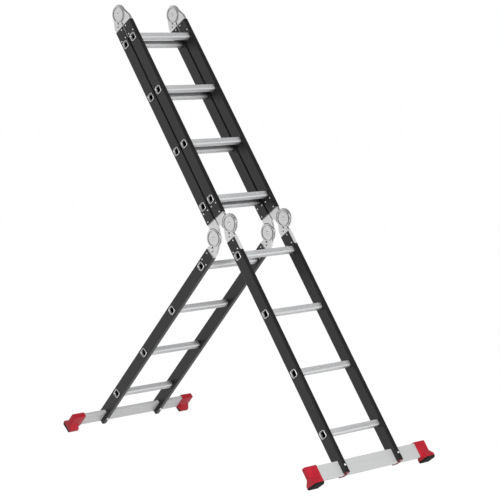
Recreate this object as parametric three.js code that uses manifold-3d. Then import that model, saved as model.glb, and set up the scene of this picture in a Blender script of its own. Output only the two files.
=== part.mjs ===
// A four-section folding ladder: two upper sections folded back to back at the top hinges, and two
// legs, each with a stabiliser bar. Millimetres, +Z up, rungs along X, front towards -Y.
import * as THREE from "three";
import { mergeVertices } from "three/addons/utils/BufferGeometryUtils.js";
import Module from "manifold-3d";

const wasm = await Module();
wasm.setup();

// ---- Driving dimensions ----

const GAP = 0.3; // between pieces that touch
const RUNNING_GAP = 0.4; // between pieces that slide or turn on each other

// Sections
const OUTER_WIDTH = 342; // over the outer faces of the two stiles
const RUNGS = 4; // in each section
const RUNG_PITCH = 280;
const HINGE_TO_RUNG = 140; // from a hinge pin to the nearest rung
const FRONT_TILT = 36; // degrees from upright: both upper sections and the front leg
const FOLDED_GAP = 6; // between the stiles of two sections folded together

// Stile: a box section
const STILE_DEPTH = 54;
const STILE_THICKNESS = 22;
const STILE_WALL = 1.6;
const STILE_CORNER = 3;

// Rung: a rounded square tube, swaged over the outer faces of the stiles
const RUNG_SIZE = 28;
const RUNG_CORNER = 7;
const RUNG_WALL = 2.5;
const BEAD_SIZE = 34;
const BEAD_CORNER = 9;
const BEAD_THICKNESS = 4;

// Hinge: a notched disc that turns between the two cheeks of a fork
const DISC_RADIUS = 44;
const DISC_THICKNESS = 5;
const DISC_PROUD = 4; // of the cheeks, all round
const CHEEK_GROOVE = 2.5; // between a cheek and the root of the half that carries the disc
const CHEEK_THICKNESS = 3.5;
const SHOULDER = 36; // from the hinge pin to where a hinge half is as wide as the stile
const ROOT_LENGTH = 18; // from the disc's rim to the end of the stile
const TANG_TO_RUNG = 4; // from the inner end of a hinge half's tang to the nearest rung
const TANG_WALL = 3;
const RIVET_RADIUS = 5;
const RIVET_HEAD_RADIUS = 8;
const RIVET_HEAD = 1.5;

// Catch: a lock pin carried by a slide that hugs the fork and the stile
const PIN_RADIUS = 3.5;
const LOCK_ANGLE = 36; // degrees between the stile's direction and the lock pin's slot
const LOCK_TRAVEL = 5.5; // along the slot, from released to locked
const SLOT_LEAD = 4; // of the slot, past the locked pin
const SLOT_OVERRUN = 7; // of the slot, past the released pin
const HALF_OPEN_FOLD = 38; // degrees of fold, one of the angles at which the hinges lock
const CATCH_EAR = 1.6; // thickness of the two ears beside the fork
const CATCH_BOSS = 5.5; // radius of an ear around the lock pin
const CATCH_TONGUE = 1.8; // thickness of the thumb piece on the stile
const CATCH_SETBACK = 6; // from the disc's rim to the thumb piece, when locked
const CATCH_REACH = 124; // from the hinge pin to the end of the thumb piece

// Stabiliser bar: a flat box section, held in a slot in the foot end of each stile
const BAR_OVERHANG = 181; // beyond the stile's outer face
const BAR_HEIGHT = 64;
const BAR_THICKNESS = 16;
const BAR_WALL = 2;
const BAR_DROP = 122; // from the last rung to the top of the bar
const STILE_SHORT = 4.5; // from the end of a leg's stile to the underside of its bar
const PLUG_PLATE = 2.5;
const PLUG_STUB = 14;
const PLUG_STRAP = 2; // thickness of the strap that joins a plug's halves under the bar
const PLUG_STRAP_WIDTH = 10;

// Foot: a cap over the end of the bar that flares into a shoe
const CAP_LENGTH = 63;
const CAP_WALL = 4;
const SHOE_LENGTH = 46;
const SOLE_GAP = 1; // between the soles of the two legs, folded side by side
const SOLE_BELOW_BAR = 20;
const SOLE_EDGE = 7; // height of the sole's upright front and back edges
const SOLE_ROUND = 12; // radius under those edges

// ---- Sizes that follow ----

const rad = THREE.MathUtils.degToRad;
const sectionLength = (RUNGS - 1) * RUNG_PITCH + 2 * HINGE_TO_RUNG; // pin to pin
const lastRung = sectionLength - HINGE_TO_RUNG; // below a leg's hinge pins
const stileX = (OUTER_WIDTH - STILE_THICKNESS) / 2; // middle of a stile's thickness
const stileFace = FOLDED_GAP / 2; // from a hinge pin back to the stile
const pivotOffset = STILE_DEPTH / 2 + stileFace; // from a stile's centre line to its hinge pin
const stileSetback = DISC_RADIUS + ROOT_LENGTH; // from a hinge pin to the end of the stile
const cheekRadius = DISC_RADIUS - DISC_PROUD;
const forkWidth = DISC_THICKNESS + 2 * (RUNNING_GAP + CHEEK_THICKNESS);
const catchWidth = forkWidth + 2 * (RUNNING_GAP + CATCH_EAR);
const releasedRadius = DISC_RADIUS + RUNNING_GAP + PIN_RADIUS;
const lockedRadius = releasedRadius - LOCK_TRAVEL;

const barDrop = BAR_DROP + BAR_HEIGHT; // from a leg's last rung to the underside of its bar
const stileTail = barDrop - STILE_SHORT; // from the last rung to the foot end of the stile
const soleDrop = barDrop + SOLE_BELOW_BAR; // from the last rung to the sole
const soleDepth = 2 * pivotOffset - SOLE_GAP;

// Both legs stand on the rounded edges of their soles. The rear hinge pins lie lower than the
// front ones, and the rear leg's tilt makes up for it.
const reachDown = lastRung + soleDrop - SOLE_ROUND;
const reachAcross = pivotOffset + soleDepth / 2 - SOLE_ROUND;
const frontDrop = reachDown * Math.cos(rad(FRONT_TILT)) + reachAcross * Math.sin(rad(FRONT_TILT));
const rearPinDrop = 4 * pivotOffset * Math.sin(rad(FRONT_TILT));
const REAR_TILT = THREE.MathUtils.radToDeg(
  Math.atan2(reachAcross, reachDown) +
    Math.acos((frontDrop - rearPinDrop) / Math.hypot(reachDown, reachAcross)),
);
const lockFolds = [0, HALF_OPEN_FOLD, FRONT_TILT + REAR_TILT, 180];

// ---- Solids ----

const arc = (x, y, radius, from, to, steps) =>
  Array.from({ length: steps + 1 }, (_, i) => {
    const angle = rad(from + ((to - from) * i) / steps);
    return [x + radius * Math.cos(angle), y + radius * Math.sin(angle)];
  });

const circle = (radius, steps) => arc(0, 0, radius, 0, 360, steps).slice(1);

const roundedRect = (width, height, radius) => {
  const w = width / 2 - radius;
  const h = height / 2 - radius;
  return [
    ...arc(w, h, radius, 0, 90, 2),
    ...arc(-w, h, radius, 90, 180, 2),
    ...arc(-w, -h, radius, 180, 270, 2),
    ...arc(w, -h, radius, 270, 360, 2),
  ];
};

// A round-ended slot between two points.
const roundSlot = ([x1, y1], [x2, y2], radius) => {
  const angle = THREE.MathUtils.radToDeg(Math.atan2(y2 - y1, x2 - x1));
  return [
    ...arc(x2, y2, radius, angle - 90, angle + 90, 6),
    ...arc(x1, y1, radius, angle + 90, angle + 270, 6),
  ];
};

const solidOf = (geometry) => {
  geometry.deleteAttribute("normal");
  geometry.deleteAttribute("uv");
  const merged = mergeVertices(geometry, 1e-4);
  return new wasm.Manifold(
    new wasm.Mesh({
      numProp: 3,
      vertProperties: merged.attributes.position.array,
      triVerts: new Uint32Array(merged.index.array),
    }),
  );
};

// An outline in XY, extruded from z = low to z = high.
const slab = (outline, low, high) => {
  const shape = new THREE.Shape(outline.map(([x, y]) => new THREE.Vector2(x, y)));
  const geometry = new THREE.ExtrudeGeometry(shape, { depth: high - low, bevelEnabled: false });
  return solidOf(geometry.translate(0, 0, low));
};

// An outline in YZ, extruded from x = low to x = high.
const beam = (outline, low, high) => slab(outline, low, high).rotate([90, 0, 90]);

const box = (low, high) => {
  const size = low.map((from, i) => high[i] - from);
  const centre = low.map((from, i) => (from + high[i]) / 2);
  return solidOf(new THREE.BoxGeometry(...size).translate(...centre));
};

const join = (solids) => solids.reduce((a, b) => a.add(b));
const cut = (solid, tools) => tools.reduce((a, b) => a.subtract(b), solid);

// ---- Stile: stands along Z, with its depth along Y ----

const insideStile = (width, height, inset) =>
  roundedRect(width - 2 * inset, height - 2 * inset, STILE_CORNER - STILE_WALL);

const stileSolid = (low, high, rungLevels) => {
  const hole = roundedRect(RUNG_SIZE + 2 * GAP, RUNG_SIZE + 2 * GAP, RUNG_CORNER + GAP);
  return cut(slab(roundedRect(STILE_THICKNESS, STILE_DEPTH, STILE_CORNER), low, high), [
    slab(insideStile(STILE_THICKNESS, STILE_DEPTH, STILE_WALL), low - 1, high + 1),
    ...rungLevels.map((z) => beam(hole, -STILE_THICKNESS, STILE_THICKNESS).translate([0, 0, z])),
  ]);
};

const legStileSolid = (rungLevels) => {
  const foot = -lastRung - stileTail;
  const barTop = -lastRung - BAR_DROP;
  const halfSlot = BAR_THICKNESS / 2 + GAP;
  return cut(stileSolid(foot, -stileSetback, rungLevels), [
    box([-STILE_THICKNESS, -halfSlot, foot - 1], [STILE_THICKNESS, halfSlot, barTop + GAP]),
  ]);
};

// ---- Rung ----

const rungSolid = () => {
  const face = OUTER_WIDTH / 2 + GAP;
  const end = face + BEAD_THICKNESS;
  const bore = RUNG_SIZE - 2 * RUNG_WALL;
  const bead = roundedRect(BEAD_SIZE, BEAD_SIZE, BEAD_CORNER);
  const whole = join([
    beam(roundedRect(RUNG_SIZE, RUNG_SIZE, RUNG_CORNER), -end, end),
    beam(bead, -end, -face),
    beam(bead, face, end),
  ]);
  return cut(whole, [beam(roundedRect(bore, bore, RUNG_CORNER - RUNG_WALL), -end - 1, end + 1)]);
};

// ---- Hinge ----
// Each piece is drawn about the hinge pin: X runs along its own stile, Y towards the side that the
// hinge pin lies on, and Z across. The stile starts at X = stileSetback, below Y = -stileFace.

const alongRay = (radius, angle) => [
  radius * Math.cos(rad(angle)),
  radius * Math.sin(rad(angle)),
];

// The outline of a hinge half: a disc that widens to the stile's depth, up to the stile's end.
const halfOutline = (radius) => {
  const near = -stileFace - GAP;
  const far = GAP - stileFace - STILE_DEPTH;
  const start = THREE.MathUtils.radToDeg(Math.asin(near / radius));
  return [
    ...arc(0, 0, radius, start, 270, 18),
    [SHOULDER - 4, far + 3],
    [SHOULDER, far + 0.8],
    [SHOULDER + 5, far],
    [stileSetback - GAP, far],
    [stileSetback - GAP, near],
  ];
};

// The open-ended box that holds a hinge half in its stile.
const tangSolid = () => {
  const start = stileSetback - GAP - 1;
  const end = HINGE_TO_RUNG - RUNG_SIZE / 2 - TANG_TO_RUNG;
  const inset = STILE_WALL + GAP;
  const outside = insideStile(STILE_DEPTH, STILE_THICKNESS, inset);
  const inside = insideStile(STILE_DEPTH, STILE_THICKNESS, inset + TANG_WALL);
  const tube = cut(beam(outside, start, end), [beam(inside, start + 2 * TANG_WALL, end + 1)]);
  return tube.translate([0, -pivotOffset, 0]);
};

const discHalfSolid = () => {
  const half = forkWidth / 2;
  const root = cut(slab(halfOutline(cheekRadius), -half, half), [
    slab(circle(cheekRadius + CHEEK_GROOVE, 32), -half - 1, half + 1),
  ]);
  const leaf = slab(halfOutline(DISC_RADIUS), -DISC_THICKNESS / 2, DISC_THICKNESS / 2);
  // Seen from this half, the fork's lock pin starts at 180 + LOCK_ANGLE and turns back with the fold.
  const notches = lockFolds.map((fold) => {
    const angle = 180 + LOCK_ANGLE - fold;
    const floor = alongRay(lockedRadius, angle);
    const mouth = alongRay(DISC_RADIUS + 2 * PIN_RADIUS, angle);
    return slab(roundSlot(floor, mouth, PIN_RADIUS + RUNNING_GAP), -half, half);
  });
  const bore = slab(circle(RIVET_RADIUS + RUNNING_GAP, 12), -half, half);
  return cut(join([leaf, root, tangSolid()]), [...notches, bore]);
};

const forkSolid = () => {
  const half = forkWidth / 2;
  const inner = DISC_THICKNESS / 2 + RUNNING_GAP;
  const slot = roundSlot(
    alongRay(lockedRadius - SLOT_LEAD, -LOCK_ANGLE),
    alongRay(releasedRadius + SLOT_OVERRUN, -LOCK_ANGLE),
    PIN_RADIUS + RUNNING_GAP,
  );
  return cut(join([slab(halfOutline(cheekRadius), -half, half), tangSolid()]), [
    slab(circle(DISC_RADIUS + RUNNING_GAP, 32), -inner, inner),
    slab(slot, -half - 1, half + 1),
    slab(circle(RIVET_RADIUS + GAP, 12), -half - 1, half + 1),
  ]);
};

const rivetSolid = () => {
  const face = forkWidth / 2 + GAP;
  const head = circle(RIVET_HEAD_RADIUS, 16);
  return join([
    slab(circle(RIVET_RADIUS, 12), -face - 1, face + 1),
    slab(head, -face - RIVET_HEAD, -face),
    slab(head, face, face + RIVET_HEAD),
  ]);
};

// The catch, drawn released. It locks by sliding towards the hinge pin, along the slot.
const catchSolid = () => {
  const half = catchWidth / 2;
  const [pinX, pinY] = alongRay(releasedRadius, -LOCK_ANGLE);
  const under = GAP - stileFace;
  const top = under + CATCH_TONGUE;
  const start = DISC_RADIUS + LOCK_TRAVEL * Math.cos(rad(LOCK_ANGLE)) + CATCH_SETBACK;
  const end = stileSetback - GAP;
  const arm = [[start, top], [pinX - CATCH_BOSS, pinY], [pinX + CATCH_BOSS, pinY], [end, top]];
  const boss = circle(CATCH_BOSS, 12).map(([x, y]) => [x + pinX, y + pinY]);
  const ears = [-half, half - CATCH_EAR].flatMap((z) => [
    slab(arm, z, z + CATCH_EAR),
    slab(boss, z, z + CATCH_EAR),
  ]);
  const thumb = [
    [start, -half],
    ...arc(CATCH_REACH - half, 0, half, -90, 90, 8),
    [start, half],
  ];
  const tongue = slab(thumb, under, top).rotate([-90, 0, 0]);
  const pin = slab(circle(PIN_RADIUS, 12), -half - 1, half + 1).translate([pinX, pinY, 0]);
  return join([...ears, tongue, pin]);
};

// ---- Stabiliser bar, stile plugs and feet ----

const barSolid = () => {
  const end = OUTER_WIDTH / 2 + BAR_OVERHANG;
  const hollow = [BAR_THICKNESS - 2 * BAR_WALL, BAR_HEIGHT - 2 * BAR_WALL];
  return cut(beam(roundedRect(BAR_THICKNESS, BAR_HEIGHT, 2), -end, end), [
    beam(roundedRect(...hollow, 0.5), -end - 1, end + 1),
  ]);
};

// Closes the foot end of a stile on each side of the bar: two plates, each with a stub up inside
// the stile, joined by a strap under the bar.
const plugSolid = () => {
  const stubs = insideStile(STILE_THICKNESS, STILE_DEPTH, STILE_WALL + GAP);
  const halfSlot = BAR_THICKNESS / 2 + 2 * GAP;
  const halfStrap = [PLUG_STRAP_WIDTH / 2, halfSlot + PLUG_STRAP];
  return cut(
    join([
      slab(roundedRect(STILE_THICKNESS, STILE_DEPTH, STILE_CORNER), -PLUG_PLATE, 0),
      slab(stubs, -1, PLUG_STUB),
      box([...halfStrap.map((reach) => -reach), -STILE_SHORT - PLUG_STRAP], [...halfStrap, 0]),
    ]),
    [box([-STILE_THICKNESS, -halfSlot, -STILE_SHORT], [STILE_THICKNESS, halfSlot, PLUG_STUB + 1])],
  );
};

// Half the outline of a leg's shoe, from the top down. The round under its edge is made of flats,
// one of which lies level when the leg stands at its tilt.
const shoeSide = (halfCap, tilt) => {
  const halfSole = soleDepth / 2;
  const flats = [90, (90 + tilt) / 2, tilt, tilt / 2, 0];
  const corners = flats.slice(1).map((flat, i) => {
    const turn = rad((flats[i] - flat) / 2);
    const middle = rad(flat) + turn;
    const reach = SOLE_ROUND / Math.cos(turn);
    return [
      halfSole - SOLE_ROUND + reach * Math.sin(middle),
      SOLE_ROUND - soleDrop - reach * Math.cos(middle),
    ];
  });
  return [
    [halfCap - 1, -BAR_DROP - BAR_HEIGHT / 2],
    [halfCap, -BAR_DROP - 0.7 * BAR_HEIGHT],
    [halfSole, SOLE_ROUND + SOLE_EDGE - soleDrop],
    ...corners,
  ];
};

// Drawn for the right-hand end of the bar, about the last rung's height.
const footSolid = (tilt) => {
  const end = BAR_OVERHANG + GAP + CAP_WALL;
  const barMiddle = -BAR_DROP - BAR_HEIGHT / 2;
  const capDepth = BAR_THICKNESS + 2 * (GAP + CAP_WALL);
  const capHeight = BAR_HEIGHT + 2 * (GAP + CAP_WALL);
  const side = shoeSide(capDepth / 2, tilt);
  const shoe = [...side, ...side.map(([y, z]) => [-y, z]).reverse()];
  const pocket = roundedRect(BAR_THICKNESS + 2 * GAP, BAR_HEIGHT + 2 * GAP, 2);
  return cut(
    join([
      beam(roundedRect(capDepth, capHeight, 5), end - CAP_LENGTH, end).translate([0, 0, barMiddle]),
      beam(shoe, end - SHOE_LENGTH, end),
    ]),
    [beam(pocket, end - CAP_LENGTH - 1, BAR_OVERHANG + GAP).translate([0, 0, barMiddle])],
  );
};

// ---- Pieces ----

const finish = (color, roughness, metalness) => ({ color, roughness, metalness });
const BLACK_LACQUER = finish(0x2b2c2e, 0.45, 0.2);
const ALUMINIUM = finish(0xc9cbce, 0.35, 0.9);
const HINGE_GREY = finish(0xb9bbbd, 0.45, 0.7);
const CATCH_GREY = finish(0xd4d5d6, 0.4, 0.6);
const RIVET_STEEL = finish(0x8d8f92, 0.35, 0.9);
const RED_PLASTIC = finish(0xb8242c, 0.45, 0);
const BLACK_PLASTIC = finish(0x141416, 0.6, 0);

const piece = (name, solid, look) => {
  const made = solid.getMesh();
  const geometry = new THREE.BufferGeometry();
  geometry.setAttribute("position", new THREE.BufferAttribute(made.vertProperties, 3));
  geometry.setIndex(new THREE.BufferAttribute(made.triVerts, 1));
  const mesh = new THREE.Mesh(geometry, new THREE.MeshStandardMaterial(look));
  mesh.name = name;
  return mesh;
};

const SIDES = [["left", -1], ["right", 1]];

// Puts a pair of hinge pieces at a section's hinge pins. Its stiles run up or down from the pins,
// and the pins lie on the side of the section that faces `towards` along Y.
const addHingePieces = (section, name, solid, look, { level, stileRuns, towards }) => {
  const along = new THREE.Vector3(0, 0, stileRuns);
  const outwards = new THREE.Vector3(0, towards, 0);
  const across = new THREE.Vector3().crossVectors(along, outwards);
  for (const [side, sign] of SIDES) {
    const mesh = piece(`${name}_${side}`, solid, look);
    mesh.setRotationFromMatrix(new THREE.Matrix4().makeBasis(along, outwards, across));
    mesh.position.set(sign * stileX, towards * pivotOffset, level);
    section.add(mesh);
  }
};

const disc = discHalfSolid();
const fork = forkSolid();
const rivet = rivetSolid();
const catchPiece = catchSolid();
const rung = rungSolid();

const addDiscs = (section, hinge, place) =>
  addHingePieces(section, `${hinge}_disc`, disc, HINGE_GREY, place);

const addForks = (section, hinge, place) => {
  addHingePieces(section, `${hinge}_fork`, fork, HINGE_GREY, place);
  addHingePieces(section, `${hinge}_rivet`, rivet, RIVET_STEEL, place);
  addHingePieces(section, `${hinge}_catch`, catchPiece, CATCH_GREY, place);
};

// Two stiles and their rungs. The rungs are numbered from the top.
const sectionOf = (name, stile, rungLevels) => {
  const section = new THREE.Group();
  for (const [side, sign] of SIDES) {
    const mesh = piece(`${name}_stile_${side}`, stile, BLACK_LACQUER);
    mesh.position.x = sign * stileX;
    section.add(mesh);
  }
  rungLevels.forEach((level, i) => {
    const mesh = piece(`${name}_rung_${i + 1}`, rung, ALUMINIUM);
    mesh.position.z = level;
    section.add(mesh);
  });
  return section;
};

const levelsFrom = (top) => Array.from({ length: RUNGS }, (_, i) => top - i * RUNG_PITCH);

// An upper section's origin is level with its lower hinge pins.
const upperSection = (name) => {
  const levels = levelsFrom(sectionLength - HINGE_TO_RUNG);
  return sectionOf(name, stileSolid(stileSetback, sectionLength - stileSetback, levels), levels);
};

// A leg's origin is level with its hinge pins.
const legSection = (name, tilt) => {
  const levels = levelsFrom(-HINGE_TO_RUNG);
  const section = sectionOf(name, legStileSolid(levels), levels);
  const bar = piece(`${name}_stabiliser_bar`, barSolid(), ALUMINIUM);
  bar.position.z = -lastRung - BAR_DROP - BAR_HEIGHT / 2;
  section.add(bar);
  const plug = plugSolid();
  const foot = footSolid(tilt);
  for (const [side, sign] of SIDES) {
    const stilePlug = piece(`${name}_plug_${side}`, plug, BLACK_PLASTIC);
    stilePlug.position.set(sign * stileX, 0, -lastRung - stileTail - GAP);
    const barFoot = piece(`${name}_foot_${side}`, foot, RED_PLASTIC);
    barFoot.position.set((sign * OUTER_WIDTH) / 2, 0, -lastRung);
    barFoot.rotation.z = sign < 0 ? Math.PI : 0;
    section.add(stilePlug, barFoot);
  }
  return section;
};

// ---- Assembly ----

const frontUpper = upperSection("front_upper");
addDiscs(frontUpper, "front_hinge", { level: 0, stileRuns: 1, towards: -1 });
addDiscs(frontUpper, "top_hinge", { level: sectionLength, stileRuns: -1, towards: 1 });

const rearUpper = upperSection("rear_upper");
addDiscs(rearUpper, "rear_hinge", { level: 0, stileRuns: 1, towards: 1 });
addForks(rearUpper, "top_hinge", { level: sectionLength, stileRuns: -1, towards: -1 });
rearUpper.position.y = 2 * pivotOffset;

const frontLeg = legSection("front_leg", FRONT_TILT);
addForks(frontLeg, "front_hinge", { level: 0, stileRuns: -1, towards: -1 });

const rearLeg = legSection("rear_leg", REAR_TILT);
addForks(rearLeg, "rear_hinge", { level: 0, stileRuns: -1, towards: 1 });
rearLeg.position.y = -pivotOffset;

const frontSide = new THREE.Group();
frontSide.add(frontUpper, rearUpper, frontLeg);
frontSide.rotation.x = -rad(FRONT_TILT);

const rearSide = new THREE.Group();
rearSide.add(rearLeg);
rearSide.rotation.x = rad(REAR_TILT);
rearSide.position.set(0, 3 * pivotOffset, 0).applyEuler(frontSide.rotation);

const ladder = new THREE.Group();
ladder.add(frontSide, rearSide);

// The origin is the middle of the footprint, on the floor.
const bounds = new THREE.Box3().setFromObject(ladder, true);
const centre = bounds.getCenter(new THREE.Vector3());
ladder.position.set(-centre.x, -centre.y, -bounds.min.z);

export default ladder;
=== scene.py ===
"""A folding ladder of four sections: black stiles, fluted rungs, grey hinges and red feet."""
from math import cos, pi, radians, sin

import bmesh
import bpy
from mathutils import Matrix, Vector


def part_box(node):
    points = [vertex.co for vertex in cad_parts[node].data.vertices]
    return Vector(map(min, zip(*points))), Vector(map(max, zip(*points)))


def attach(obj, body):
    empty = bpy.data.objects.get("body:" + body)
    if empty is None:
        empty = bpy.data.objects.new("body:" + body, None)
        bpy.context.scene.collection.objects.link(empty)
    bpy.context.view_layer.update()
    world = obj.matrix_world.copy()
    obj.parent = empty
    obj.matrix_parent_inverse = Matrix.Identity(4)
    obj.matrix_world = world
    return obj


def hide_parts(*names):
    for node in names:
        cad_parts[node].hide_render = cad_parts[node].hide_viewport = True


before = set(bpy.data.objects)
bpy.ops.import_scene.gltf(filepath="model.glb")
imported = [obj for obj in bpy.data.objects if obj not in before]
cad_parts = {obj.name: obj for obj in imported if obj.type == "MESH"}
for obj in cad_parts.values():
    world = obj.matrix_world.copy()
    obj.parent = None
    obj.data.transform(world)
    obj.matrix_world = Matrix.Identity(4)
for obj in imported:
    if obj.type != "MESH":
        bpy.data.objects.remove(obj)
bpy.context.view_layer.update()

MM = 0.001
SAME_POINT = 1e-6  # points closer than this are one
SIDES = {"left": -1, "right": 1}
SECTIONS = ("front_upper", "rear_upper", "front_leg", "rear_leg")
LEGS = ("front_leg", "rear_leg")
RUNGS = (1, 2, 3, 4)


# ---- Materials ----

def new_material(name, colour, roughness, metallic=0.0, specular=0.5):
    """A plain material, at the middle of what its grain varies."""
    material = bpy.data.materials.new(name)
    material.use_nodes = True
    shader = material.node_tree.nodes["Principled BSDF"]
    shader.inputs["Base Color"].default_value = (*colour, 1)
    shader.inputs["Roughness"].default_value = roughness
    shader.inputs["Metallic"].default_value = metallic
    shader.inputs["Specular IOR Level"].default_value = specular
    return material


def add_node(owner, kind, **settings):
    """A node of a material or world, with its inputs and properties set by name."""
    node = owner.node_tree.nodes.new(kind)
    for key, value in settings.items():
        if key in node.inputs:
            node.inputs[key].default_value = value
        else:
            setattr(node, key, value)
    return node


def connect(owner, source, target):
    owner.node_tree.links.new(source, target)


def connect_shader(material, source, name):
    connect(material, source, material.node_tree.nodes["Principled BSDF"].inputs[name])


def noise(material, scale, stretch=(1, 1, 1), detail=3.0):
    """Noise in the piece's own space, stretched along its axes."""
    place = add_node(material, "ShaderNodeTexCoord")
    mapping = add_node(material, "ShaderNodeMapping", Scale=stretch)
    texture = add_node(material, "ShaderNodeTexNoise", Scale=scale, Detail=detail)
    connect(material, place.outputs["Object"], mapping.inputs["Vector"])
    connect(material, mapping.outputs["Vector"], texture.inputs["Vector"])
    return texture.outputs["Fac"]


def ramp(material, factor, dark, light, dark_below, light_above):
    """Goes from the dark to the light colour as the factor rises."""
    node = add_node(material, "ShaderNodeValToRGB")
    dark_stop, light_stop = node.color_ramp.elements
    dark_stop.position = dark_below
    light_stop.position = light_above
    dark_stop.color = (*dark, 1)
    light_stop.color = (*light, 1)
    connect(material, factor, node.inputs["Fac"])
    return node.outputs["Color"]


def vary_colour(material, factor, dark, light, dark_below=0.35, light_above=0.65):
    colour = ramp(material, factor, dark, light, dark_below, light_above)
    connect_shader(material, colour, "Base Color")


def vary_roughness(material, factor, low, high):
    spread = add_node(material, "ShaderNodeMapRange", **{"To Min": low, "To Max": high})
    connect(material, factor, spread.inputs["Value"])
    connect_shader(material, spread.outputs["Result"], "Roughness")


def add_bump(material, factor, strength, depth):
    bump = add_node(material, "ShaderNodeBump", Strength=strength, Distance=depth)
    connect(material, factor, bump.inputs["Height"])
    connect_shader(material, bump.outputs["Normal"], "Normal")


# Painted shade: the colour that closed-in recesses are darkened towards, and the colour that leaves
# open faces unchanged.
RECESS_SHADE = (0.015, 0.015, 0.015)
UNSHADED = (1, 1, 1)


def paint_recess_shade(material, reach, dark_below=0.3, clean_above=0.75):
    """Paints shade into the base colour in the narrow gaps, slots and grooves of a piece, where
    ambient occlusion finds them closed in.
    """
    shader = material.node_tree.nodes["Principled BSDF"]
    metal = shader.inputs["Base Color"].links[0].from_socket
    # Ambient occlusion paints shade into the base colour wherever a recess is closed in.
    opening = add_node(material, "ShaderNodeAmbientOcclusion", samples=8, Distance=reach)
    painted_shade = ramp(material, opening.outputs["AO"], RECESS_SHADE, UNSHADED, dark_below, clean_above)
    blend = add_node(
        material, "ShaderNodeMix", data_type="RGBA", blend_type="MULTIPLY", Factor=1.0,
    )
    first, second = [socket for socket in blend.inputs if socket.type == "RGBA"]
    mixed = next(socket for socket in blend.outputs if socket.type == "RGBA")
    connect(material, metal, first)
    connect(material, painted_shade, second)
    connect_shader(material, mixed, "Base Color")


def black_lacquer():
    material = new_material("black_lacquer", (0.006, 0.006, 0.0065), 0.3, specular=0.44)
    clouds = noise(material, scale=9)
    vary_colour(material, clouds, dark=(0.004, 0.004, 0.0045), light=(0.008, 0.008, 0.0085))
    vary_roughness(material, noise(material, scale=40), low=0.26, high=0.36)
    add_bump(material, noise(material, scale=900), strength=0.1, depth=0.2 * MM)
    return material


def drawn_aluminium():
    material = new_material("drawn_aluminium", (0.74, 0.745, 0.755), 0.34, metallic=0.4)
    streaks = noise(material, scale=60, stretch=(0.05, 3, 3), detail=6)
    dull, bright = (0.69, 0.695, 0.705), (0.79, 0.795, 0.805)
    vary_colour(material, streaks, dull, bright, dark_below=0.3, light_above=0.7)
    wear = noise(material, scale=30, stretch=(0.1, 2, 2))
    vary_roughness(material, wear, low=0.28, high=0.4)
    add_bump(material, streaks, strength=0.1, depth=0.2 * MM)
    # Painted shade inside the rung's bore and on the rung near the stiles that it meets.
    paint_recess_shade(material, reach=50 * MM, dark_below=0.42, clean_above=0.82)
    return material


def bar_aluminium():
    material = new_material("bar_aluminium", (0.66, 0.665, 0.67), 0.42, metallic=0.2)
    streaks = noise(material, scale=45, stretch=(0.04, 3, 3), detail=6)
    dull, bright = (0.64, 0.645, 0.65), (0.68, 0.685, 0.69)
    vary_colour(material, streaks, dull, bright, dark_below=0.3, light_above=0.7)
    wear = noise(material, scale=25, stretch=(0.1, 2, 2))
    vary_roughness(material, wear, low=0.36, high=0.48)
    add_bump(material, streaks, strength=0.08, depth=0.2 * MM)
    return material


def hinge_grey():
    material = new_material("hinge_grey", (0.68, 0.68, 0.68), 0.36, metallic=0.9)
    spots = noise(material, scale=260)
    vary_colour(material, spots, dark=(0.63, 0.63, 0.63), light=(0.73, 0.73, 0.73))
    vary_roughness(material, noise(material, scale=60), low=0.3, high=0.42)
    add_bump(material, noise(material, scale=700), strength=0.15, depth=0.3 * MM)
    # Painted shade in the hinge's slots, rim notches and the groove round its cheeks.
    paint_recess_shade(material, reach=8 * MM, dark_below=0.36, clean_above=0.78)
    return material


def catch_grey():
    material = new_material("catch_grey", (0.8, 0.8, 0.8), 0.42, metallic=0.35)
    spots = noise(material, scale=200)
    vary_colour(material, spots, dark=(0.75, 0.75, 0.75), light=(0.85, 0.85, 0.85))
    vary_roughness(material, noise(material, scale=80), low=0.34, high=0.48)
    # Painted shade in the catch's narrow gaps.
    paint_recess_shade(material, reach=6 * MM)
    return material


def rivet_steel():
    material = new_material("rivet_steel", (0.72, 0.72, 0.73), 0.32, metallic=0.8)
    spots = noise(material, scale=300)
    vary_colour(material, spots, dark=(0.66, 0.66, 0.67), light=(0.78, 0.78, 0.79))
    vary_roughness(material, noise(material, scale=120), low=0.25, high=0.42)
    return material


def red_plastic():
    material = new_material("red_plastic", (0.5, 0.012, 0.03), 0.38, specular=0.3)
    clouds = noise(material, scale=20)
    vary_colour(material, clouds, dark=(0.46, 0.01, 0.025), light=(0.54, 0.015, 0.035))
    vary_roughness(material, noise(material, scale=90), low=0.32, high=0.46)
    add_bump(material, noise(material, scale=600), strength=0.12, depth=0.3 * MM)
    return material


def dark_red_plastic():
    # The feet's red plastic, with shade painted in to make it darker, for the front legs' plugs
    # under the stile ends.
    material = new_material("dark_red_plastic", (0.2, 0.006, 0.014), 0.4)
    clouds = noise(material, scale=30)
    vary_colour(material, clouds, dark=(0.17, 0.005, 0.012), light=(0.23, 0.007, 0.016))
    vary_roughness(material, noise(material, scale=90), low=0.34, high=0.48)
    return material


def black_rubber():
    material = new_material("black_rubber", (0.01, 0.01, 0.01), 0.7, specular=0.2)
    dust = noise(material, scale=150)
    vary_colour(material, dust, dark=(0.006, 0.006, 0.007), light=(0.014, 0.012, 0.012))
    vary_roughness(material, noise(material, scale=90), low=0.6, high=0.8)
    add_bump(material, noise(material, scale=500), strength=0.25, depth=0.4 * MM)
    return material


LACQUER = black_lacquer()
RUNG_METAL = drawn_aluminium()
BAR_METAL = bar_aluminium()
HINGE = hinge_grey()
CATCH = catch_grey()
STEEL = rivet_steel()
RED = red_plastic()
SHADED_RED = dark_red_plastic()
RUBBER = black_rubber()


# ---- Places, from the frame ----

def middle(node):
    low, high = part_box(node)
    return (low + high) / 2


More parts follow.
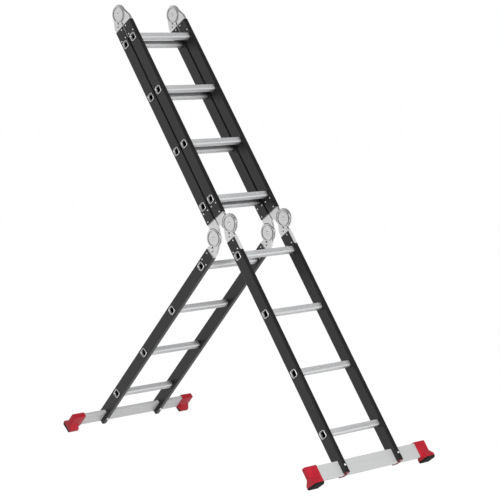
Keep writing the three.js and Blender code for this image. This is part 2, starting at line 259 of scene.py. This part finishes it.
def section_turn(section):
    """A section's own axes: X along its rungs, Y to its rear face and Z up its stiles."""
    up = (middle(f"{section}_rung_1") - middle(f"{section}_rung_4")).normalized()
    rear = Vector((0, up.z, -up.y))
    return Matrix((Vector((1, 0, 0)), rear, up)).transposed()


def place_in(section, point):
    return Matrix.Translation(point) @ section_turn(section).to_4x4()


# ---- Mesh helpers ----

def finish_piece(bm, name, body, material, replaces=(), sharp=30):
    """Makes a piece that rides on its body. Edges sharper than so many degrees stay crisp."""
    bmesh.ops.remove_doubles(bm, verts=bm.verts, dist=SAME_POINT)
    bmesh.ops.recalc_face_normals(bm, faces=bm.faces)
    for face in bm.faces:
        face.smooth = True
    for edge in bm.edges:
        edge.smooth = edge.calc_face_angle(pi) < radians(sharp)
    mesh = bpy.data.meshes.new(name)
    bm.to_mesh(mesh)
    bm.free()
    mesh.materials.append(material)
    piece = bpy.data.objects.new(name, mesh)
    bpy.context.collection.objects.link(piece)
    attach(piece, body)
    if replaces:
        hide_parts(*replaces)
    return piece


def ring(bm, points):
    """A closed loop of edges through the points."""
    verts = [bm.verts.new(point) for point in points]
    return [bm.edges.new((a, b)) for a, b in zip(verts, verts[1:] + verts[:1])]


def loft(bm, rings):
    """Faces from each ring to the next, and from the last back to the first."""
    for a, b in zip(rings, rings[1:] + rings[:1]):
        bmesh.ops.bridge_loops(bm, edges=a + b)


# ---- Rungs ----

RUNG = 28 * MM
RUNG_CORNER = 7 * MM
BORE = 22 * MM
BORE_CORNER = 4.5 * MM
BORE_DEPTH = 8 * MM
BEAD = 34 * MM
BEAD_CORNER = 9 * MM
BEAD_THICK = 4 * MM
BEAD_EDGE = 0.6 * MM
EDGE_CORNER = 8.6 * MM
# The lip at a rung's end, from its mouth outwards: how far in from the end, how much narrower
# than the bead, and the radius of its corners.
LIP = (
    (0.5 * MM, 5.6 * MM, 7 * MM),
    (0, 4.2 * MM, 7.4 * MM),
    (0.2 * MM, 2.2 * MM, 8 * MM),
    (1 * MM, 0.8 * MM, EDGE_CORNER),
    (2.4 * MM, 0, BEAD_CORNER),
)
MOUTH = (3.5 * MM, 6.4 * MM, 6.6 * MM)  # the same three for the throat of the bore
STILE_THICK = 22 * MM
STILE_DEPTH = 54 * MM
PLAIN_END = 0.6 * MM  # of the rung, past the inner face of its stile
FLUTES = 3  # on each side of a rung
FLUTE_DEPTH = 1.1 * MM
FLUTE_SHAPE = ((0.2, 0), (0.34, 1), (0.66, 1), (0.8, 0))  # shares of its pitch and of its depth
FLUTE_RUN_OUT = ((0, 0), (2 * MM, 0.3), (5 * MM, 1))  # past the plain end, and share of its depth
CORNER_STEPS = 5


def fluted_outline(size, radius, depth):
    """A rounded square with flutes of a given depth along its flat sides."""
    flat = size - 2 * radius
    pitch = flat / FLUTES
    side = [Vector((size / 2, -flat / 2))]
    for flute in range(FLUTES):
        start = -flat / 2 + flute * pitch
        for along, sink in FLUTE_SHAPE:
            side.append(Vector((size / 2 - sink * depth, start + along * pitch)))
    side.append(Vector((size / 2, flat / 2)))
    for step in range(1, CORNER_STEPS):
        angle = step / CORNER_STEPS * pi / 2
        side.append(Vector((
            size / 2 - radius + radius * cos(angle),
            flat / 2 + radius * sin(angle),
        )))
    return [Matrix.Rotation(turn * pi / 2, 2) @ point for turn in range(4) for point in side]


def make_rung(section, number):
    node = f"{section}_rung_{number}"
    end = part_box(node)[1].x
    outer = end - BEAD_THICK
    inner = outer - STILE_THICK - PLAIN_END
    # Each station is how far along the rung, how wide, its corner radius and its flute depth.
    lip = [(end - back, BEAD - narrower, corner, 0) for back, narrower, corner in LIP]
    bead = [
        (outer + BEAD_EDGE, BEAD, BEAD_CORNER, 0),
        (outer, BEAD - 2 * BEAD_EDGE, EDGE_CORNER, 0),
        (outer, RUNG, RUNG_CORNER, 0),
    ]
    flutes = [(inner - run, RUNG, RUNG_CORNER, share * FLUTE_DEPTH) for run, share in FLUTE_RUN_OUT]
    half = lip + bead + flutes
    back, narrower, corner = MOUTH
    bore = [(end - BORE_DEPTH, BORE, BORE_CORNER, 0), (end - back, BEAD - narrower, corner, 0)]
    outside = half + [(-x, *rest) for x, *rest in reversed(half)]
    inside = [(-x, *rest) for x, *rest in bore] + bore
    bm = bmesh.new()
    rings = [
        ring(bm, [Vector((x, p.x, p.y)) for p in fluted_outline(size, radius, depth)])
        for x, size, radius, depth in outside + inside
    ]
    loft(bm, rings)
    bmesh.ops.transform(bm, matrix=place_in(section, middle(node)), verts=bm.verts)
    finish_piece(bm, f"{node}_fluted", section, RUNG_METAL, [node])


for section in SECTIONS:
    for number in RUNGS:
        make_rung(section, number)


# ---- Pieces that refine the shape they stand for ----

FLAT_WITHIN = radians(1)


def clean_copy(node):
    """The shape of a node, merged into closed faces and ready to be worked on."""
    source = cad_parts[node]
    bm = bmesh.new()
    bm.from_mesh(source.data)
    bmesh.ops.transform(bm, matrix=source.matrix_world, verts=bm.verts)
    bmesh.ops.remove_doubles(bm, verts=bm.verts, dist=SAME_POINT)
    bmesh.ops.dissolve_limit(bm, angle_limit=FLAT_WITHIN, verts=bm.verts, edges=bm.edges)
    return bm


SOFTENED_ABOVE = radians(35)


def soften_edges(bm, width, segments):
    corners = [edge for edge in bm.edges if edge.calc_face_angle(0) > SOFTENED_ABOVE]
    bmesh.ops.bevel(
        bm, geom=corners, offset=width, offset_type="OFFSET", affect="EDGES",
        segments=segments, profile=0.5, clamp_overlap=True, material=-1,
    )


# ---- Feet ----

SHOE = 46 * MM  # along the bar
SHOE_EDGE = 1.4 * MM
SOLE_HALF_DEPTH = 29.5 * MM
SOLE_ROUND = 12 * MM
SOLE_BOTTOM = -52 * MM  # from the middle of the bar
TREAD_TOP = -42 * MM
TREAD_INSET = 0.7 * MM
GROOVE_HALF_WIDTH = 1.2 * MM
GROOVE_DEPTH = 1.5 * MM
GROOVES = (-14 * MM, -7 * MM, 0, 7 * MM, 14 * MM)  # under the tread, from front to rear
ROUND_STEPS = 7
ON_THE_CUT = 1e-7


def tread_profile():
    """The tread's outline across the foot: rounded front and rear edges, grooved below."""
    rear = [Vector((SOLE_HALF_DEPTH - TREAD_INSET, TREAD_TOP))]
    for step in range(1, ROUND_STEPS + 1):
        angle = step / ROUND_STEPS * pi / 2
        point = Vector((
            SOLE_HALF_DEPTH - SOLE_ROUND * (1 - cos(angle)),
            SOLE_BOTTOM + SOLE_ROUND * (1 - sin(angle)),
        ))
        if point.y < TREAD_TOP:
            rear.append(point)
    grooves = []
    for groove in reversed(GROOVES):
        grooves += [
            Vector((groove + GROOVE_HALF_WIDTH, SOLE_BOTTOM)),
            Vector((groove + GROOVE_HALF_WIDTH, SOLE_BOTTOM + GROOVE_DEPTH)),
            Vector((groove - GROOVE_HALF_WIDTH, SOLE_BOTTOM + GROOVE_DEPTH)),
            Vector((groove - GROOVE_HALF_WIDTH, SOLE_BOTTOM)),
        ]
    front = [Vector((-point.x, point.y)) for point in reversed(rear)]
    return rear + grooves + front


def make_foot(leg, side):
    node = f"{leg}_foot_{side}"
    sign = SIDES[side]
    low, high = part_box(node)
    bar = middle(f"{leg}_stabiliser_bar")
    # The foot's own frame: X outwards from the bar's end, Y to the rear, Z up the leg.
    place = place_in(leg, Vector((0, bar.y, bar.z)))
    outer = high.x if sign > 0 else -low.x

    cap = clean_copy(node)
    bmesh.ops.transform(cap, matrix=place.inverted(), verts=cap.verts)
    everything = cap.verts[:] + cap.edges[:] + cap.faces[:]
    cut = bmesh.ops.bisect_plane(
        cap, geom=everything, dist=ON_THE_CUT, plane_co=(0, 0, TREAD_TOP),
        plane_no=(0, 0, -1), clear_outer=True,
    )
    rim = [item for item in cut["geom_cut"] if isinstance(item, bmesh.types.BMEdge)]
    bmesh.ops.contextual_create(cap, geom=rim)
    soften_edges(cap, SHOE_EDGE, segments=3)
    bmesh.ops.transform(cap, matrix=place, verts=cap.verts)
    finish_piece(cap, f"{node}_cap", leg, RED, [node], sharp=24)

    tread = bmesh.new()
    inner = outer - SHOE
    edges = ring(tread, [Vector((sign * inner, p.x, p.y)) for p in tread_profile()])
    face = bmesh.ops.contextual_create(tread, geom=edges)["faces"]
    grown = bmesh.ops.extrude_face_region(tread, geom=face)
    moved = [item for item in grown["geom"] if isinstance(item, bmesh.types.BMVert)]
    bmesh.ops.translate(tread, verts=moved, vec=(sign * SHOE, 0, 0))
    bmesh.ops.transform(tread, matrix=place, verts=tread.verts)
    finish_piece(tread, f"{node}_tread", leg, RUBBER, sharp=35)


for leg in LEGS:
    for side in SIDES:
        make_foot(leg, side)


# ---- Hinges ----

HINGE_BODIES = {
    # hinge: the section that carries its discs, the section that carries its forks
    "front_hinge": ("front_upper", "front_leg"),
    "top_hinge": ("front_upper", "rear_upper"),
    "rear_hinge": ("rear_upper", "rear_leg"),
}
# The head of a hinge's rivet, from the shank to the crown: its radius, and how far it stands out
# past the end of the shank.
RIVET_PROFILE = (
    (5 * MM, -1.5 * MM),
    (8 * MM, -1.5 * MM),
    (8 * MM, -0.7 * MM),
    (7.5 * MM, -0.2 * MM),
    (6.4 * MM, -0.1 * MM),
    (6 * MM, -0.6 * MM),
    (5.4 * MM, 0.2 * MM),
    (3.8 * MM, 0.9 * MM),
    (2 * MM, 1.2 * MM),
    (0, 1.3 * MM),
)
RIB_RADIUS = 33 * MM  # of the rib round each cheek
RIB_HALF_FOOT = 1.8 * MM
RIB_HALF_CREST = 0.6 * MM
RIB_HEIGHT = 0.25 * MM
ROUND_SIDES = 40
DISC_EDGE = 0.7 * MM
FORK_EDGE = 0.8 * MM
CATCH_EDGE = 0.5 * MM


def turned(bm, profile, place, closed):
    """Spins a profile of (radius, along) points round the X axis."""
    before = set(bm.verts)
    verts = [bm.verts.new((along, radius, 0)) for radius, along in profile]
    edges = [bm.edges.new(pair) for pair in zip(verts, verts[1:])]
    if closed:
        edges.append(bm.edges.new((verts[-1], verts[0])))
    bmesh.ops.spin(
        bm, geom=verts + edges, cent=(0, 0, 0), axis=(1, 0, 0), angle=2 * pi,
        steps=ROUND_SIDES, use_merge=True,
    )
    made = [vert for vert in bm.verts if vert not in before]
    bmesh.ops.remove_doubles(bm, verts=made, dist=SAME_POINT)
    made = [vert for vert in bm.verts if vert not in before]
    bmesh.ops.translate(bm, verts=made, vec=place)


def make_pin_rivet(hinge, side, body):
    node = f"{hinge}_rivet_{side}"
    low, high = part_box(node)
    half = (high.x - low.x) / 2
    head = [(radius, half + out) for radius, out in RIVET_PROFILE]
    profile = [(radius, -along) for radius, along in reversed(head)] + head
    bm = bmesh.new()
    turned(bm, profile, middle(node), closed=False)
    finish_piece(bm, f"{node}_domed", body, STEEL, [node])


def make_cheek_ribs(hinge, side, body):
    """A low round rib on each outer face of a fork's cheeks."""
    low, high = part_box(f"{hinge}_fork_{side}")
    pin = middle(f"{hinge}_rivet_{side}")
    bm = bmesh.new()
    for face, away in ((low.x, -1), (high.x, 1)):
        profile = [
            (RIB_RADIUS - RIB_HALF_FOOT, 0),
            (RIB_RADIUS - RIB_HALF_CREST, away * RIB_HEIGHT),
            (RIB_RADIUS + RIB_HALF_CREST, away * RIB_HEIGHT),
            (RIB_RADIUS + RIB_HALF_FOOT, 0),
            (RIB_RADIUS + RIB_HALF_FOOT, -away * RIB_HEIGHT),
            (RIB_RADIUS - RIB_HALF_FOOT, -away * RIB_HEIGHT),
        ]
        turned(bm, profile, (face, pin.y, pin.z), closed=True)
    finish_piece(bm, f"{hinge}_cheek_ribs_{side}", body, HINGE)


def make_softened(node, body, material, width):
    bm = clean_copy(node)
    soften_edges(bm, width, segments=2)
    finish_piece(bm, f"{node}_softened", body, material, [node], sharp=20)


for hinge, (disc_body, fork_body) in HINGE_BODIES.items():
    for side in SIDES:
        make_softened(f"{hinge}_disc_{side}", disc_body, HINGE, DISC_EDGE)
        make_softened(f"{hinge}_fork_{side}", fork_body, HINGE, FORK_EDGE)
        catch = f"{hinge}_catch_{side}"
        make_softened(catch, catch, CATCH, CATCH_EDGE)
        make_pin_rivet(hinge, side, fork_body)
        make_cheek_ribs(hinge, side, fork_body)


# ---- Rivets of the tangs and bolts of the bars ----

# How far each rivet is from the hinge's pin along its stile, and from the middle of the stile.
TANG_RIVETS = ((113 * MM, 16 * MM), (113 * MM, -16 * MM), (71 * MM, 13 * MM))
TANG_HEAD_RADIUS = 3.6 * MM
TANG_HEAD_HEIGHT = 1.6 * MM
HINGE_HALVES = (
    # section, hinge, which way its stiles run from the hinge, which way the hinge pin lies
    ("front_upper", "front_hinge", 1, -1),
    ("front_upper", "top_hinge", -1, 1),
    ("rear_upper", "rear_hinge", 1, 1),
    ("rear_upper", "top_hinge", -1, -1),
    ("front_leg", "front_hinge", -1, -1),
    ("rear_leg", "rear_hinge", -1, 1),
)
PIVOT_OFFSET = 30 * MM  # from the middle of a stile to its hinge's pin


def add_dome(bm, centre, radius, height, turned_about):
    """A low round head, half sunk in the face that it stands on."""
    made = bmesh.ops.create_uvsphere(bm, u_segments=14, v_segments=8, radius=radius)
    squash = Matrix.Scale(height / radius, 4, Vector((0, 0, 1)))
    turn = Matrix.Rotation(pi / 2, 4, turned_about)
    bmesh.ops.transform(bm, matrix=Matrix.Translation(centre) @ turn @ squash, verts=made["verts"])


def make_tang_rivets(section, hinge, runs, pin_side):
    bm = bmesh.new()
    stile = middle(f"{section}_stile_right").x
    for along, across in TANG_RIVETS:
        for side in SIDES.values():
            for face in (-1, 1):
                spot = Vector((
                    side * stile + face * STILE_THICK / 2,
                    pin_side * (across - PIVOT_OFFSET),
                    runs * along,
                ))
                add_dome(bm, spot, TANG_HEAD_RADIUS, TANG_HEAD_HEIGHT, turned_about="Y")
    pin = middle(f"{hinge}_rivet_right")
    bmesh.ops.transform(
        bm, matrix=place_in(section, Vector((0, pin.y, pin.z))), verts=bm.verts
    )
    finish_piece(bm, f"{section}_{hinge}_tang_rivets", section, STEEL)


for half in HINGE_HALVES:
    make_tang_rivets(*half)


# The heads between the two legs are low, so that the legs close on each other.
BOLT_RADIUS = 5.5 * MM
TALL_HEAD = 4.5 * MM
LOW_HEAD = 2.6 * MM
BAR_BOLTS = {
    # leg: the height of the heads on its front face, and on its rear face
    "front_leg": (TALL_HEAD, LOW_HEAD),
    "rear_leg": (LOW_HEAD, TALL_HEAD),
}
BOLT_ABOVE_BAR_MIDDLE = 4 * MM


def make_bar_bolts(leg):
    bm = bmesh.new()
    stile = middle(f"{leg}_stile_right").x
    for side in SIDES.values():
        for face, height in zip((-1, 1), BAR_BOLTS[leg]):
            spot = Vector((side * stile, face * STILE_DEPTH / 2, BOLT_ABOVE_BAR_MIDDLE))
            add_dome(bm, spot, BOLT_RADIUS, height, turned_about="X")
    bar = middle(f"{leg}_stabiliser_bar")
    bmesh.ops.transform(bm, matrix=place_in(leg, Vector((0, bar.y, bar.z))), verts=bm.verts)
    finish_piece(bm, f"{leg}_bar_bolts", leg, STEEL)


for leg in LEGS:
    make_bar_bolts(leg)


# ---- CAD pieces that keep their shape ----

# What a node's name has in it, and the material of such nodes.
NODE_FINISHES = {
    "_stile_": LACQUER,
    "_stabiliser_bar": BAR_METAL,
    # The front legs' plugs get the red plastic with painted shade.
    "front_leg_plug_": SHADED_RED,
    "rear_leg_plug_": RUBBER,
}


def finish_node(node, material):
    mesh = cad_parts[node].data
    mesh.materials.clear()
    mesh.materials.append(material)


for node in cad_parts:
    for part, material in NODE_FINISHES.items():
        if part in node:
            finish_node(node, material)


# ---- Floor, light and camera ----

FLOOR_REACH = 30
FLOOR_BELOW = 0.5 * MM
FLOOR_COLOUR = (0.85, 0.85, 0.85, 1)
FLOOR_GLOW = 1.08
FLOOR_GLOW_SHARE = 0.9  # the rest shows the ladder's shadow
AMBIENT = 0.3
WHITE_UP_TO = 0.03  # sine of the height above the horizon where the white starts to fade
DARK_FROM = 0.4
OVERHEAD = 0.3
SENSOR_WIDTH = 36
LENS = 136.17
LENS_SHIFT = (0.0094, -0.0271)
CAMERA_PLACE = (-5.5809, -5.7896, 1.7982)
CAMERA_DOWN = 6.265  # degrees below level
CAMERA_TURN = -44.051  # degrees from looking along +Y
SEEN_UP_TO = 100


def seen_directly(owner):
    """One for what is looked at, mirrored or looked through, and zero for soft light."""
    rays = add_node(owner, "ShaderNodeLightPath")
    seen = rays.outputs["Is Camera Ray"]
    for ray in ("Is Glossy Ray", "Is Transmission Ray"):
        either = add_node(owner, "ShaderNodeMath", operation="MAXIMUM")
        connect(owner, seen, either.inputs[0])
        connect(owner, rays.outputs[ray], either.inputs[1])
        seen = either.outputs["Value"]
    return seen


def white_floor():
    material = bpy.data.materials.new("floor_white")
    material.use_nodes = True
    material.node_tree.nodes.clear()
    output = add_node(material, "ShaderNodeOutputMaterial")
    diffuse = add_node(material, "ShaderNodeBsdfDiffuse", Color=FLOOR_COLOUR)
    glow = add_node(material, "ShaderNodeEmission", Strength=FLOOR_GLOW)
    mix = add_node(material, "ShaderNodeMixShader")
    share = add_node(material, "ShaderNodeMath", operation="MULTIPLY")
    share.inputs[1].default_value = FLOOR_GLOW_SHARE
    connect(material, seen_directly(material), share.inputs[0])
    connect(material, share.outputs["Value"], mix.inputs["Fac"])
    connect(material, diffuse.outputs["BSDF"], mix.inputs[1])
    connect(material, glow.outputs["Emission"], mix.inputs[2])
    connect(material, mix.outputs["Shader"], output.inputs["Surface"])
    return material


def make_floor():
    bm = bmesh.new()
    bmesh.ops.create_grid(bm, x_segments=1, y_segments=1, size=FLOOR_REACH)
    mesh = bpy.data.meshes.new("floor")
    bm.to_mesh(mesh)
    bm.free()
    mesh.materials.append(white_floor())
    floor = bpy.data.objects.new("floor", mesh)
    floor.location.z = -FLOOR_BELOW
    bpy.context.collection.objects.link(floor)


def make_world():
    """White round the horizon and darker overhead, with a soft even light from all round."""
    world = bpy.data.worlds.new("studio")
    bpy.context.scene.world = world
    world.use_nodes = True
    background = world.node_tree.nodes["Background"]
    background.inputs["Color"].default_value = (1, 1, 1, 1)
    towards = add_node(world, "ShaderNodeTexCoord")
    parts = add_node(world, "ShaderNodeSeparateXYZ")
    connect(world, towards.outputs["Generated"], parts.inputs["Vector"])
    fade = {"From Min": WHITE_UP_TO, "From Max": DARK_FROM, "To Min": 1.0, "To Max": OVERHEAD}
    sky = add_node(world, "ShaderNodeMapRange", **fade)
    connect(world, parts.outputs["Z"], sky.inputs["Value"])
    level = add_node(world, "ShaderNodeMapRange", **{"To Min": AMBIENT})
    connect(world, seen_directly(world), level.inputs["Value"])
    connect(world, sky.outputs["Result"], level.inputs["To Max"])
    connect(world, level.outputs["Result"], background.inputs["Strength"])


def make_lamp(name, place, target, size, power):
    data = bpy.data.lights.new(name, "AREA")
    data.shape = "SQUARE"
    data.size = size
    data.energy = power
    lamp = bpy.data.objects.new(name, data)
    lamp.location = place
    lamp.rotation_euler = (Vector(target) - Vector(place)).to_track_quat("-Z", "Y").to_euler()
    bpy.context.collection.objects.link(lamp)


def make_camera():
    data = bpy.data.cameras.new("camera")
    data.sensor_width = SENSOR_WIDTH
    data.lens = LENS
    data.shift_x, data.shift_y = LENS_SHIFT
    data.clip_end = SEEN_UP_TO
    camera = bpy.data.objects.new("camera", data)
    camera.location = CAMERA_PLACE
    camera.rotation_euler = (radians(90 - CAMERA_DOWN), 0, radians(CAMERA_TURN))
    bpy.context.collection.objects.link(camera)
    bpy.context.scene.camera = camera


make_floor()
make_world()
make_lamp("key", place=(-2.5, -5, 3.5), target=(0, 0, 0.9), size=2.5, power=290)
make_camera()
bpy.context.scene.view_settings.view_transform = "Standard"
